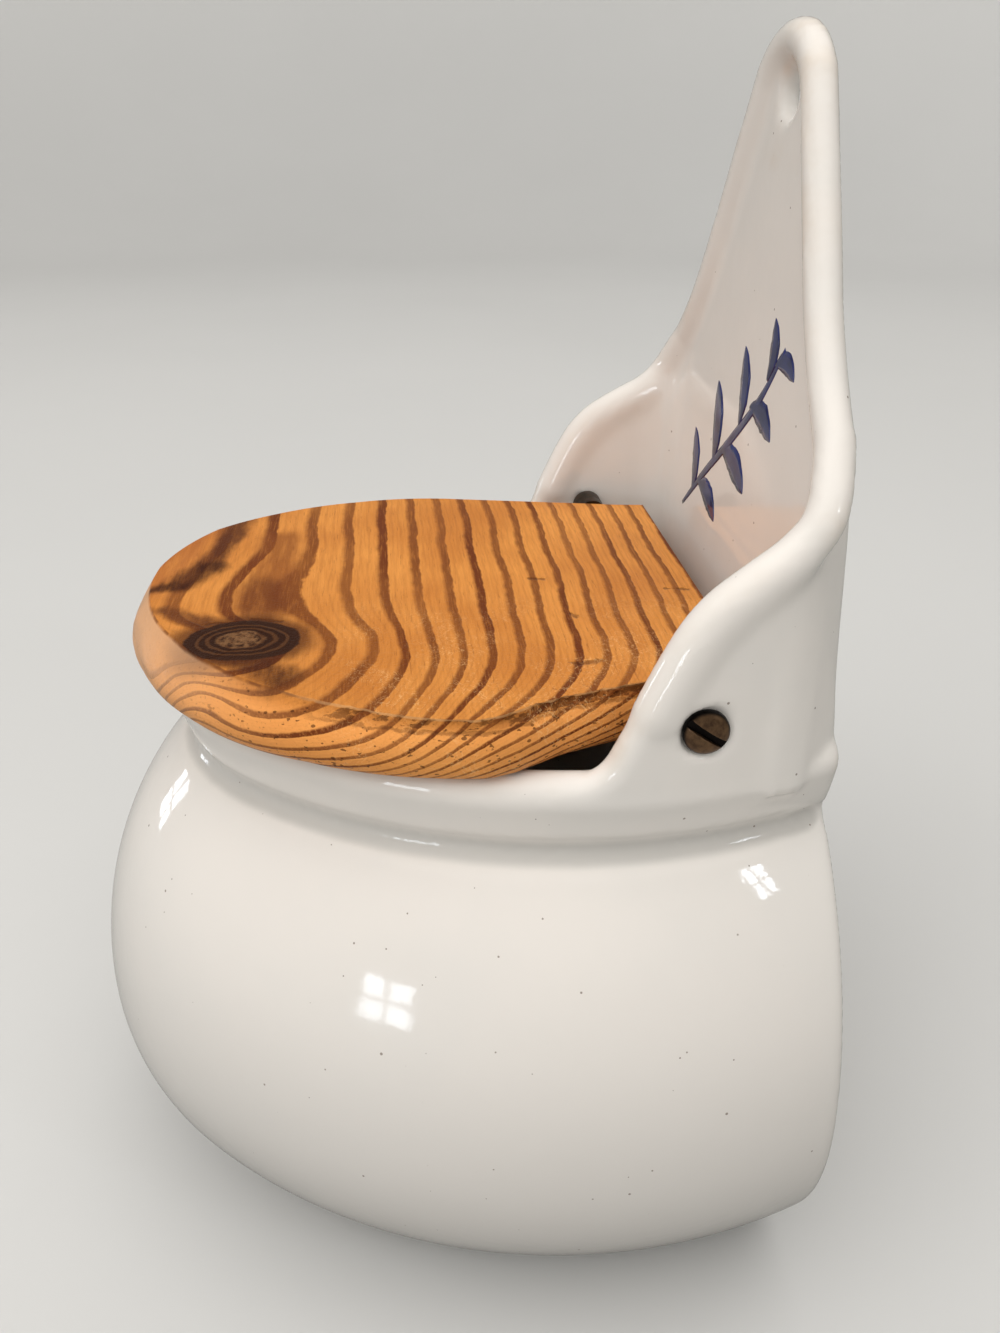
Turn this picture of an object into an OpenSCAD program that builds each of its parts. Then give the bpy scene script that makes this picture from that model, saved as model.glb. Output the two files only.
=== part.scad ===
// Wall salt box: a glazed ceramic pot with a tall back plate and a pine lid.
// The lid turns on two slotted screws that pass through the ears of the pot.
// Millimetres, +Z up, +Y toward the wall; "depth" is always measured forward from the wall.

/* [Bowl] */
// Width across the crease under the collar
neck_w = 117; // [113:1:121]
// Depth of the crease, from the wall to the front
neck_depth = 120; // [117:1:123]
// Radius of the round front of the crease
nose_r = 44; // [41:1:46]
// Depth of the line where the crease is widest
widest_depth = 40; // [38:1:42]
// How far the belly stands out past the crease
belly_out = 24; // [20:1:26]
// Height of the widest line of the belly
belly_z = 48; // [46:1:51]
// Radius of the belly below its widest line
lower_r = 52; // [51:1:57]
// Height of the deepest line of the crease
crease_z = 106; // [104:0.5:108]
// Height of the rim that the lid rests on
rim_z = 120; // [118.5:0.5:122]
// Radius of the hollow of the crease
crease_r = 4; // [3:0.25:5]
// How far the collar stands out past the crease
collar_out = 3; // [2.5:0.25:4]
// Radius of the rounded rim of the collar
bead_r = 4; // [3.5:0.25:4.5]
// Thickness of the bowl wall
wall = 6; // [5:0.5:7]
// Thickness of the bowl floor
floor_t = 8; // [6:0.5:10]

/* [Back plate] */
// Height of the whole pot
body_h = 233; // [229:1:239]
// Thickness of the wall at the back of the bowl
back_t = 10; // [9:0.5:11]
// Radius of the rolled rim round the plate
roll_r = 3.3; // [3:0.1:3.6]
// How far the rolled rim stands in front of the field
roll_proud = 2.5; // [1.8:0.1:2.8]
// Radius of the tip, along the middle of the rolled rim
tip_r = 14.5; // [13:0.5:16]
// Angle of the flanks from upright, in degrees
flank_deg = 29; // [27:0.5:31]
// Straight length of each flank
flank_l = 31; // [28:1:34]
// Radius of the flare at the foot of each flank
flare_r = 110; // [100:5:125]
// Angle of the rim from upright where it meets the ear, in degrees
flare_deg = 45; // [43:1:47]
// Lean of the front of the plate, in degrees
lean_deg = 3.2; // [2.8:0.1:3.6]
// Diameter of the hole that hangs the pot on a screw
hang_d = 9; // [7:0.5:9.5]
// Drop from the top of the pot to the middle of the hang hole
hang_drop = 11.5; // [11:0.25:13.5]

/* [Ears] */
// Thickness of each ear
ear_t = 6.2; // [5.8:0.1:6.6]
// Depth at which the ear leaves the plate
root_depth = 10; // [9:0.5:11]
// Height at which the ear leaves the plate
root_z = 162; // [159:1:164]
// Depth of the ear's shoulder
shoulder_depth = 30.5; // [29:0.5:32]
// Height of the ear's shoulder
shoulder_z = 150; // [148:1:152]
// Depth at which the ear runs out on the rim
foot_depth = 45; // [43:1:47]
// Radius of the shoulder
shoulder_r = 20; // [16:1:22]
// Radius of the two hollows, at the plate and at the rim
hollow_r = 6; // [4:0.5:7]
// Half width at the wall, at the height where the ears leave the plate
corner_x = 41.6; // [40.5:0.1:43]
// Turn of the flat on the back corner of each ear, in degrees
corner_deg = 48; // [44:1:52]
// Lean of that flat, in degrees
corner_lean = 7.5; // [6.5:0.5:8.5]

/* [Lid] */
// Thickness of the lid
lid_t = 11.3; // [10:0.1:12.5]
// Depth of the back edge of the lid
lid_back = 15; // [14.5:0.5:16]
// Depth of the front edge of the lid
lid_front = 129.8; // [127:0.1:131]
// Radius of the round front of the lid
lid_r = 56.3; // [55.5:0.1:56.8]
// Radius of the bull-nosed edge of the lid
edge_r = 6.6; // [6.5:0.1:9]
// Taper of each side of the lid, in degrees
taper_deg = 13.2; // [12.6:0.1:14]
// Gap between the closed lid and the rim
lid_gap = 0.3; // [0.2:0.05:0.6]

/* [Pivots] */
// Depth of the pivot line
pivot_depth = 27.5; // [26.5:0.25:28.5]
// Height of the pivot line above the lid's underside
pivot_rise = 8.2; // [6:0.1:8.4]
// Diameter of the plain shank of each screw
shank_d = 4; // [3.6:0.1:4.4]
// Diameter of each screw's head
head_d = 8; // [7.4:0.1:8.4]
// Height of each screw's head
head_h = 2.4; // [2.2:0.1:2.8]
// Width of the screwdriver slot
slot_w = 1.3; // [1:0.1:1.6]
// Depth of the screwdriver slot
slot_depth = 1.2; // [0.8:0.1:1.4]
// Length of screw in the wood
bite_l = 18; // [14:1:22]
// Outside diameter of the spacers between lid and ears
spacer_d = 7; // [6:0.2:7.6]
// Running clearance of the shank in the ear, on the radius
run_clear = 0.075; // [0.05:0.005:0.1]
// Loose clearance round the head and at the spacer's free end
loose_clear = 0.3; // [0.25:0.05:0.4]

/* [Hidden] */
$fn = 48;
small_fn = 28;
reach = 400;
half_turn = 180;
arc_steps = 10;

// Plan of the crease: a round nose that runs into two flatter side arcs
nose_depth = neck_depth - nose_r;
nose_step = nose_depth - widest_depth;
nose_side = neck_w / 2 - nose_r;
side_shift = (nose_step * nose_step - nose_side * nose_side) / (2 * nose_side);
side_r = side_shift + neck_w / 2;
join_deg = atan2(nose_step, side_shift);
nose_swell = 0.15;
nose_lap = 12;
body_depth = neck_depth + nose_swell + belly_out;

// Wall section: rim bead, crease and belly arcs that touch each other smoothly
bead_z = rim_z - bead_r;
bead_x = collar_out - bead_r;
bead_mid = [bead_x, bead_z];
crease_mid = [crease_r, crease_z];
neck_line = crease_mid - bead_mid;
neck_deg = atan2(neck_line[1], neck_line[0]) + acos((bead_r + crease_r) / norm(neck_line));
bead_end = bead_mid + bead_r * [cos(neck_deg), sin(neck_deg)];
crease_end = crease_mid - crease_r * [cos(neck_deg), sin(neck_deg)];
belly_rise = crease_z - belly_z;
upper_r = (belly_out * belly_out + belly_rise * belly_rise) / (2 * belly_out) - crease_r;
upper_x = belly_out - upper_r;
lower_x = belly_out - lower_r;
throat_trim = 0.35;
throat_x = bead_x - bead_r + throat_trim;

// Rolled rim of the plate, in the leaning plane with its origin at the tip
roll_flat = 0.3;
knuckle = 0.15;
roll_gap = 0.4;
tip_deg = 89;
flank_start = [tip_r * cos(flank_deg), tip_r * (sin(flank_deg) - 1)];
flank_end = flank_start + flank_l * [sin(flank_deg), -cos(flank_deg)];
flare_mid = flank_end + flare_r * [cos(flank_deg), sin(flank_deg)];
flare_end = flare_mid - flare_r * [cos(flare_deg), sin(flare_deg)];
tail_l = 7;
tail_end = flare_end + tail_l * [sin(flare_deg), -cos(flare_deg)];
field_front = roll_r - roll_proud;
field_t = field_front + roll_r - 2 * roll_flat;
field_low = rim_z - bead_r - body_h;

// Narrower pad behind the plate, flat against the wall
pad_deg = 23;
pad_start = [tip_r * cos(pad_deg), body_h - roll_r + tip_r * (sin(pad_deg) - 1)];
pad_end = [pad_start[0] + (pad_start[1] - root_z - hollow_r) * tan(pad_deg), root_z + hollow_r];

// Ears stand on the collar and follow its side arcs
ear_sink = 0.1;
ear_out = collar_out - ear_sink;
ear_in = ear_out - ear_t;
ear_top = root_z + hollow_r;
foot_z = rim_z - 2 * ear_sink;
ear_start = 345;
ear_span = 60;

// Lid plan and pivot line
lid_z = rim_z + lid_gap;
lid_mid = lid_front - lid_r;
taper_x = lid_r * cos(taper_deg);
taper_depth = lid_mid - lid_r * sin(taper_deg);
lid_pivot_x = taper_x - (taper_depth - pivot_depth) * tan(taper_deg);
pivot_z = lid_z + pivot_rise;
lid_swell = 0.1;
lid_lap = 8;
lid_spot = 1.6;
lid_face_x = lid_pivot_x - lid_spot;
seat_sink = 1.2;
pilot_clear = 0.05;
thread_cut = 0.3;
seat_x = side_x(ear_out, pivot_depth) - seat_sink;
spacer_x0 = lid_face_x + pilot_clear;
spacer_x1 = side_x(ear_in, pivot_depth - spacer_d / 2) - 2 * loose_clear;
bore_d = shank_d + 2 * run_clear;
thread_d = shank_d - 2 * thread_cut;
point_l = 4;
point_d = 1;
slot_turn = 55;
dome_r = (head_d * head_d / 4 + head_h * head_h / 4) / head_h;

// Half width of the side arc, moved outward by an offset, at a given depth
function side_x(offset, depth) =
    sqrt(pow(side_r + offset, 2) - pow(widest_depth - depth, 2)) - side_shift;

// Points of an arc about a centre
function arc(centre, r, from, to) =
    [for (i = [0:arc_steps]) centre + r * [cos(from + (to - from) * i / arc_steps),
                                          sin(from + (to - from) * i / arc_steps)]];

// Points moved outward by a plan radius
function moved(points, plan_r) = [for (p = points) p + [plan_r, 0]];

function unit(v) = v / norm(v);

// Arc that rounds the corner b of the path a, b, c
function corner(a, b, c, r) =
    let (u = unit(a - b))
    let (v = unit(c - b))
    let (half = acos(u * v) / 2)
    let (centre = b + unit(u + v) * r / sin(half))
    let (p = b + u * r / tan(half) - centre)
    let (q = b + v * r / tan(half) - centre)
    let (from = atan2(p[1], p[0]))
    let (turn = (atan2(q[1], q[0]) - from + 3 * half_turn) % (2 * half_turn) - half_turn)
    arc(centre, r, from, from + turn);

module both_sides() {
    children();
    mirror([1, 0, 0]) children();
}

// Moves from the wall plane to the middle of the part's box
module placed() {
    translate([0, body_depth / 2, 0]) children();
}

// Outside of the pot, from base to rim: belly, crease, collar and bead, for a plan radius
module outer_section(plan_r) {
    base_deg = -asin(belly_z / lower_r);
    top_deg = atan2(belly_rise, crease_r - upper_x);
    polygon(concat(
        [[0, 0]],
        moved(arc([lower_x, belly_z], lower_r, base_deg, 0), plan_r),
        moved(arc([upper_x, belly_z], upper_r, 0, top_deg), plan_r),
        moved(arc(crease_mid, crease_r, half_turn + top_deg, half_turn + neck_deg), plan_r),
        moved(arc(bead_mid, bead_r, neck_deg, half_turn), plan_r),
        [[0, bead_z]]));
}

// Inside of the pot, from floor to mouth, for a plan radius
module inner_section(plan_r) {
    floor_deg = -asin((belly_z - floor_t) / (lower_r - wall));
    throat_deg = acos((throat_x - upper_x) / (upper_r - wall));
    polygon(concat(
        [[0, floor_t]],
        moved(arc([lower_x, belly_z], lower_r - wall, floor_deg, 0), plan_r),
        moved(arc([upper_x, belly_z], upper_r - wall, 0, throat_deg), plan_r),
        moved([[throat_x, rim_z + bead_r]], plan_r),
        [[0, rim_z + bead_r]]));
}

module section(inside, plan_r) {
    if (inside) inner_section(plan_r);
    else outer_section(plan_r);
}

// The pot swept round its plan, nose and two sides, and cut off at a given depth
module pot(inside, cut_depth) {
    intersection() {
        union() {
            translate([0, -nose_depth, 0])
                rotate_extrude(angle = 180 - 2 * (join_deg - nose_lap), start = 180 + join_deg - nose_lap)
                    section(inside, nose_r + nose_swell);
            both_sides() intersection() {
                translate([-side_shift, -widest_depth, 0])
                    rotate_extrude(angle = 90 + join_deg, start = 360 - join_deg) section(inside, side_r);
                translate([0, -reach, 0]) cube([reach, 2 * reach, reach]);
            }
        }
        translate([-reach / 2, -reach - cut_depth, 0]) cube(reach);
    }
}

// Side view of an ear: plate, root hollow, shoulder, foot hollow, rim
module ear_side_view() {
    top = [-root_depth, ear_top];
    root = [-root_depth, root_z];
    shoulder = [-shoulder_depth, shoulder_z];
    foot = [-foot_depth, foot_z];
    tail = [-foot_depth - 2 * hollow_r, foot_z];
    polygon(concat(
        [[0, bead_z], [0, root_z], top],
        corner(top, root, shoulder, hollow_r),
        corner(root, shoulder, foot, shoulder_r),
        corner(shoulder, foot, tail, hollow_r),
        [tail, [tail[0], bead_z]]));
}

module right_ear() {
    intersection() {
        translate([-side_shift, -widest_depth, bead_z])
            rotate_extrude(angle = ear_span, start = ear_start)
                translate([side_r + ear_in, 0]) square([ear_t, ear_top]);
        rotate([90, 0, 90]) linear_extrude(height = neck_w) ear_side_view();
    }
}

// What the flat on the right back corner takes away
module corner_flat() {
    translate([corner_x, 0, root_z]) rotate([0, -corner_lean, corner_deg])
        translate([0, -reach / 2, -reach / 2]) cube(reach);
}

// Rolled rim, lying in the plate's own plane: tip, flanks and flares, joined by knuckles
module roll() {
    tip_gap = roll_gap / tip_r * 180 / PI;
    flare_gap = roll_gap / flare_r * 180 / PI;
    translate([0, -tip_r, 0])
        rotate_extrude(angle = 180 - 2 * (flank_deg + tip_gap), start = flank_deg + tip_gap)
            translate([tip_r, 0]) circle(r = roll_r, $fn = small_fn);
    both_sides() {
        translate([flank_start[0], flank_start[1], 0]) rotate([0, 90, flank_deg - 90])
            translate([0, 0, roll_gap]) cylinder(r = roll_r, h = flank_l - 2 * roll_gap, $fn = small_fn);
        translate([flare_mid[0], flare_mid[1], 0])
            rotate_extrude(angle = flare_deg - flank_deg - flare_gap, start = 180 + flank_deg + flare_gap)
                translate([flare_r, 0]) circle(r = roll_r, $fn = small_fn);
        translate([flare_end[0], flare_end[1], 0]) rotate([0, 90, flare_deg - 90])
            translate([0, 0, roll_gap]) cylinder(r = roll_r, h = tail_l - 2 * roll_gap, $fn = small_fn);
        for (joint = [flank_start, flank_end, flare_end, tail_end])
            translate([joint[0], joint[1], 0]) sphere(r = roll_r + knuckle, $fn = small_fn);
    }
}

// Left-right symmetric outline from the points of its right half, top to bottom
module symmetric(right) {
    last = len(right) - 1;
    polygon(concat(right, [for (i = [last:-1:0]) [-right[i][0], right[i][1]]]));
}

// Field between the rolled rims
module field_outline() {
    ear_x = side_x(ear_in, root_depth);
    symmetric(concat(
        arc([0, -tip_r], tip_r, tip_deg, flank_deg),
        arc(flare_mid, flare_r, 180 + flank_deg, 180 + flare_deg),
        [[ear_x, flare_end[1] - hollow_r], [ear_x, field_low]]));
}

module leaning() {
    translate([0, roll_flat - roll_r, body_h - roll_r]) rotate([90 - lean_deg, 0, 0]) children();
}

// Pad that lies against the wall
module pad_outline() {
    symmetric(concat(
        arc([0, body_h - roll_r - tip_r], tip_r, tip_deg, pad_deg),
        [pad_end, [corner_x, root_z], [corner_x, bead_z]]));
}

module rolled_rim() {
    intersection() {
        leaning() roll();
        translate([-reach / 2, -reach, 0]) cube([reach, reach, reach]);
    }
}

module field() {
    leaning() translate([0, 0, field_front - field_t])
        linear_extrude(height = field_t) field_outline();
    intersection() {
        rotate([90, 0, 0]) linear_extrude(height = back_t) pad_outline();
        leaning() translate([-reach / 2, -reach, -reach + field_front - field_t / 2])
            cube([reach, 2 * reach, reach]);
    }
}

module along_pivot(x) {
    translate([x, -pivot_depth, pivot_z]) rotate([0, 90, 0]) children();
}

module ceramic_body() {
    color([0.93, 0.91, 0.87]) placed() difference() {
        union() {
            pot(false, 0);
            difference() {
                union() {
                    both_sides() right_ear();
                    field();
                }
                both_sides() corner_flat();
            }
            rolled_rim();
        }
        pot(true, back_t);
        along_pivot(-reach / 2) cylinder(d = bore_d, h = reach);
        both_sides() along_pivot(seat_x) cylinder(d = head_d + 2 * loose_clear, h = reach);
        translate([0, reach / 2, body_h - hang_drop]) rotate([90, 0, 0]) cylinder(d = hang_d, h = reach);
    }
}

// Bull-nosed edge of the board, from a line inside it out to a given reach
module lid_edge(inner_x, outer_x) {
    edge_deg = asin(lid_t / 2 / edge_r);
    polygon(concat(
        [[inner_x, 0]],
        arc([outer_x - edge_r, lid_t / 2], edge_r, -edge_deg, edge_deg),
        [[inner_x, lid_t]]));
}

// The board without its round front: all that lies inside the two slanting edges
module lid_back_part() {
    far_x = (lid_mid - lid_back) / tan(taper_deg);
    intersection() {
        linear_extrude(height = lid_t) polygon([[0, -lid_mid], [far_x, -lid_back], [-far_x, -lid_back]]);
        both_sides_meet() translate([0, -lid_mid, 0]) rotate([90, 0, taper_deg])
            linear_extrude(height = reach, center = true) lid_edge(-reach / 2, lid_r);
    }
}

module both_sides_meet() {
    intersection() {
        children();
        mirror([1, 0, 0]) children();
    }
}

module lid_board() {
    lid_back_part();
    translate([0, -lid_mid, 0])
        rotate_extrude(angle = half_turn + 2 * (taper_deg + lid_lap), start = half_turn - taper_deg - lid_lap)
            lid_edge(0, lid_r + lid_swell);
}

module lid() {
    color([0.72, 0.47, 0.22]) placed() difference() {
        translate([0, 0, lid_z]) lid_board();
        both_sides() {
            along_pivot(lid_face_x - bite_l) cylinder(d = thread_d + 2 * pilot_clear, h = reach);
            along_pivot(lid_face_x) cylinder(d = spacer_d + 2 * loose_clear, h = reach);
        }
    }
}

// Slotted round-head wood screw: head outward, point in the lid
module right_screw() {
    tip_x = lid_face_x - bite_l + loose_clear;
    along_pivot(tip_x) cylinder(d1 = point_d, d2 = thread_d, h = point_l);
    along_pivot(tip_x + point_l) cylinder(d = thread_d, h = spacer_x0 - tip_x - point_l);
    along_pivot(spacer_x0) cylinder(d = shank_d, h = seat_x - spacer_x0);
    difference() {
        along_pivot(seat_x) intersection() {
            cylinder(d = head_d, h = head_h);
            translate([0, 0, head_h - dome_r]) sphere(r = dome_r);
        }
        along_pivot(seat_x + head_h - slot_depth) rotate([0, 0, slot_turn])
            translate([-head_d, -slot_w / 2, 0]) cube([2 * head_d, slot_w, head_h]);
    }
}

module right_spacer() {
    along_pivot(spacer_x0) difference() {
        cylinder(d = spacer_d, h = spacer_x1 - spacer_x0);
        translate([0, 0, -1]) cylinder(d = shank_d + 2 * run_clear, h = spacer_x1);
    }
}

module pivot_screw_right() {
    color([0.26, 0.2, 0.14]) placed() right_screw();
}

module pivot_screw_left() {
    color([0.26, 0.2, 0.14]) placed() mirror([1, 0, 0]) right_screw();
}

module spacer_right() {
    color([0.2, 0.16, 0.12]) placed() right_spacer();
}

module spacer_left() {
    color([0.2, 0.16, 0.12]) placed() mirror([1, 0, 0]) right_spacer();
}

ceramic_body();
lid();
pivot_screw_right();
pivot_screw_left();
spacer_right();
spacer_left();
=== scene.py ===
"""A wall salt box: glazed earthenware pot, pine lid, two slotted pivot screws with their spacers."""
import bpy
import math
import numpy as np
from mathutils import Matrix, Vector, noise


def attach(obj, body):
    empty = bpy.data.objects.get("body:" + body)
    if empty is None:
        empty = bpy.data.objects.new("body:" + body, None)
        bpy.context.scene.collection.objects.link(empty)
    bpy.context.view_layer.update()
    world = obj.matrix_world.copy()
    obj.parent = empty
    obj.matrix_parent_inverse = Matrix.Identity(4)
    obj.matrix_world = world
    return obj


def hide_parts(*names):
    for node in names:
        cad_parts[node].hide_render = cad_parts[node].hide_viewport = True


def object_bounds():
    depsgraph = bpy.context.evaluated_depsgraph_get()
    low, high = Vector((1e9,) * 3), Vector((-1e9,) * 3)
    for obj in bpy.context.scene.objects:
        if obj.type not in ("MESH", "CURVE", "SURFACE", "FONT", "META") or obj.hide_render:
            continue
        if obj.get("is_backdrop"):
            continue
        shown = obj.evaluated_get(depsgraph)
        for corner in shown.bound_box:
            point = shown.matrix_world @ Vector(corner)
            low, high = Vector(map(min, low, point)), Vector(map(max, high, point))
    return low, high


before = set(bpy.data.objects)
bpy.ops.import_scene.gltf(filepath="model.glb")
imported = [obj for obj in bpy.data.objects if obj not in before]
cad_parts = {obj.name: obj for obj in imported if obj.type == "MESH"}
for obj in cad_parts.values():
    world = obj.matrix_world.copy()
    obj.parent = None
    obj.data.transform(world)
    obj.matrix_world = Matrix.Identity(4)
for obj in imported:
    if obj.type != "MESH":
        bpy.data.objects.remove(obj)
cad_low, cad_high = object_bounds()


# The pot: white earthenware, slip-cast in one piece with its plate and ears, then dipped in a
# thick tin glaze. The glaze softens every edge and thins to beige on the rolled rim; the hollows
# and the crease are painted grey for shade. It hangs on the wall by the one hole near the tip.
WALL_Y = 72.075
WIDEST_Z, CREASE_Z, BEAD_Z, BEAD_R = 48, 107, 116, 4
EAR_HALF, ROLL_R = 3.05, 3.2
PLATE_TOP_Y, PLATE_TOP_Z = -3, 229.7
HANG_Z, HANG_R = 221.5, 4.5
PIVOT_Y, PIVOT_Z = -27.5, 128.5
VOXEL = 1.0


def soft_min(a, b, k):
    near = np.clip(k - np.abs(a - b), 0, None) / k
    return np.minimum(a, b) - near * near * k / 4


def soft_max(a, b, k):
    return -soft_min(-a, -b, k)


def arc(cx, cy, r, start, end, steps=10):
    turn = np.radians(np.linspace(start, end, steps + 1))
    return [(cx + r * math.cos(t), cy + r * math.sin(t)) for t in turn]


def rounded(a, b, c, r):
    """Points of the arc that rounds corner b of the path a, b, c."""
    a, b, c = Vector(a), Vector(b), Vector(c)
    u, v = (a - b).normalized(), (c - b).normalized()
    half = u.angle(v) / 2
    mid = b + (u + v).normalized() * r / math.sin(half)
    p, q = b + u * r / math.tan(half) - mid, b + v * r / math.tan(half) - mid
    start = math.atan2(p.y, p.x)
    turn = (math.atan2(q.y, q.x) - start + 3 * math.pi) % (2 * math.pi) - math.pi
    return arc(mid.x, mid.y, r, math.degrees(start), math.degrees(start + turn))


def to_line(px, py, path):
    """Distance of points to an open path of straight pieces."""
    best = np.full(np.broadcast(px, py).shape, 1e9)
    for (ax, ay), (bx, by) in zip(path[:-1], path[1:]):
        ex, ey = bx - ax, by - ay
        t = np.clip(((px - ax) * ex + (py - ay) * ey) / (ex * ex + ey * ey + 1e-9), 0, 1)
        best = np.minimum(best, np.hypot(px - ax - t * ex, py - ay - t * ey))
    return best


# Right half of the space round the pot, sampled evenly; the left half is its mirror image
x = (np.arange(int(84 / VOXEL)) + 0.5) * VOXEL
y = np.arange(-146, 4, VOXEL)
z = np.arange(-3, 237, VOXEL)
PX, PY = np.meshgrid(x, y, indexing="ij")
X, Y, Z = x[:, None, None], y[None, :, None], z[None, None, :]

# Plan: a round nose that runs into two flatter side arcs; d is the distance out from the crease
nose_y, nose_r, side_x, side_y, side_r, join = -76.0, 44.0, -37.44, -40.0, 95.94, math.radians(43.9)
in_nose = math.cos(join) * (PY - nose_y) + math.sin(join) * PX < 0
d = np.where(in_nose, np.hypot(PX, PY - nose_y) - nose_r, np.hypot(PX - side_x, PY - side_y) - side_r)
D = d[:, :, None]

# Bowl: belly shell, floor, collar with a round bead, and the flat wall at the back
up_belly, down_belly = np.hypot(D + 54.08, Z - WIDEST_Z) - 78.08, np.hypot(D + 28, Z - WIDEST_Z) - 52
belly = np.where(Z >= WIDEST_Z, up_belly, down_belly)
shell = np.maximum(np.abs(belly + 3) - 3, Z - CREASE_Z)
floor_slab = soft_max(belly, Z - 8, 4)
t = np.clip(((D + 1) * -3.5 + (Z - BEAD_Z) * -13) / (3.5 ** 2 + 13 ** 2), 0, 1)
collar = np.hypot(D + 1 + 3.5 * t, Z - BEAD_Z + 13 * t) - BEAD_R
pot = soft_min(soft_min(shell, floor_slab, 4), collar, 2.5)
pot = soft_max(pot, 2.2 - np.hypot(D - 1.9, Z - 105), 2.0)
back = np.maximum(np.maximum(np.where(Z < CREASE_Z, belly + 0.5, D - 0.5), Z - 119), -(Y + 10))
pot = np.minimum(pot, back)

# Ears: walls that follow the side arcs, with a fully rounded top edge
top, root, shoulder, foot, tail = (-8.5, 172), (-10.5, 161.5), (-30.5, 150), (-45, 119.6), (-60, 119.6)
edge = [top] + rounded(top, root, shoulder, 7) + rounded(root, shoulder, foot, 20)
edge += rounded(shoulder, foot, tail, 7) + [tail]
EY, EZ = np.meshgrid(y, z, indexing="ij")
edge_y, edge_z = np.array(edge).T
above = EZ > np.interp(EY, edge_y[::-1], edge_z[::-1], right=180.0)
over = to_line(EY, EZ, edge) * np.where(above, 1, -1)
over = np.where(EY > edge_y[0], np.minimum(over, EZ - 172), over)[None, :, :]
side = np.abs(D + 0.2) - 0.05
over = over + EAR_HALF
ear = np.hypot(np.maximum(side, 0), np.maximum(over, 0)) + np.minimum(np.maximum(side, over), 0) - EAR_HALF
ear = np.maximum(np.maximum(ear, 114.5 - Z), -Y - 62)

# Plate: a field that leans back a little; v runs up it and w stands out of it
lean = math.radians(3.2)
v = (Y - PLATE_TOP_Y) * math.sin(lean) + (Z - PLATE_TOP_Z) * math.cos(lean)
w = -(Y - PLATE_TOP_Y) * math.cos(lean) + (Z - PLATE_TOP_Z) * math.sin(lean)
outline = arc(0, -14.5, 14.5, 90, 29) + [(27.71, -34.58)] + arc(123.9, 18.75, 110, 209, 225)
outline += [(51.5, -66.5), (53.5, -74), (53.5, -130)]
out_x, out_v = np.array(outline).T
UX, UV = np.meshgrid(x, np.arange(-130, 10, 0.5), indexing="ij")
reach = to_line(UX, UV, outline)
reach = np.where((UX < np.interp(UV, out_v[::-1], out_x[::-1])) & (UV < 0), -reach, reach)
row = np.clip((v + 130) / 0.5, 0, reach.shape[1] - 1.001)
low = row.astype(int)
part = row - low
col = np.arange(len(x))[:, None, None]
rim = reach[col, low] * (1 - part) + reach[col, low + 1] * part
field = np.maximum(soft_max(rim + 1.1 * np.clip(-w - 0.5, 0, None), w - 0.8, 1.5), 100 - Z)

# Rolled rim: one rope of clay that runs round the plate and down into the top edge of each ear
def through(bends, i, s):
    """Place at share s between bend i and the next, on a smooth line through all the bends."""
    p0, p1, p2, p3 = bends[max(i - 1, 0)], bends[i], bends[i + 1], bends[min(i + 2, len(bends) - 1)]
    return 0.5 * (2 * p1 + (p2 - p0) * s + (2 * p0 - 5 * p1 + 4 * p2 - p3) * s * s
                  + (3 * p1 - p0 - 3 * p2 + p3) * s ** 3)


roll = [(px, PLATE_TOP_Y + pv * math.sin(lean), PLATE_TOP_Z + pv * math.cos(lean)) for px, pv in outline[:-3]]
for ey, ez in [(-9.0, 162.5), (-13.5, 156.8), (-20, 152.6), (-26, 147.8), (-31.5, 140), (-36, 130)]:
    roll.append((math.sqrt((side_r - 0.2) ** 2 - (side_y - ey) ** 2) + side_x, ey, ez))
roll = [Vector(p) for p in roll]
fine = [through(roll, i, s) for i in range(len(roll) - 1) for s in np.linspace(0, 1, 4, endpoint=False)]
first = np.searchsorted(z, 120)
front = np.searchsorted(y, -48)
QX, QY, QZ = X, Y[:, front:], Z[:, :, first:]
rope = np.full((len(x), len(y) - front, len(z) - first), 1e9)
for a, b in zip(fine[:-1], fine[1:]):
    e = b - a
    s = ((QX - a.x) * e.x + (QY - a.y) * e.y + (QZ - a.z) * e.z) / max(e.length_squared, 1e-9)
    s = np.clip(s, 0, 1)
    off = (QX - a.x - s * e.x) ** 2 + (QY - a.y - s * e.y) ** 2 + (QZ - a.z - s * e.z) ** 2
    rope = np.minimum(rope, off)
rope = np.sqrt(rope) - ROLL_R

# Flat on the back corner of each ear, then everything joined and the holes cut
corner = 0.6634 * (X - 41.6) + 0.7368 * Y + 0.1305 * (Z - 162)
upper = soft_max(soft_min(ear, field, 9), corner, 5)
solid = np.minimum(pot, upper)
solid[:, front:, first:] = soft_min(solid[:, front:, first:], rope, 3)
solid = soft_max(soft_max(solid, Y + 0.15, 2), -Z, 2.5)
bore = np.hypot(Y - PIVOT_Y, Z - PIVOT_Z)
solid = soft_max(solid, -np.minimum(bore - 2.2, np.maximum(bore - 4.45, 59.2 - X)), 0.8)
solid = soft_max(solid, HANG_R - np.hypot(X, Z - HANG_Z) + 0 * Y, 2)


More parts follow.
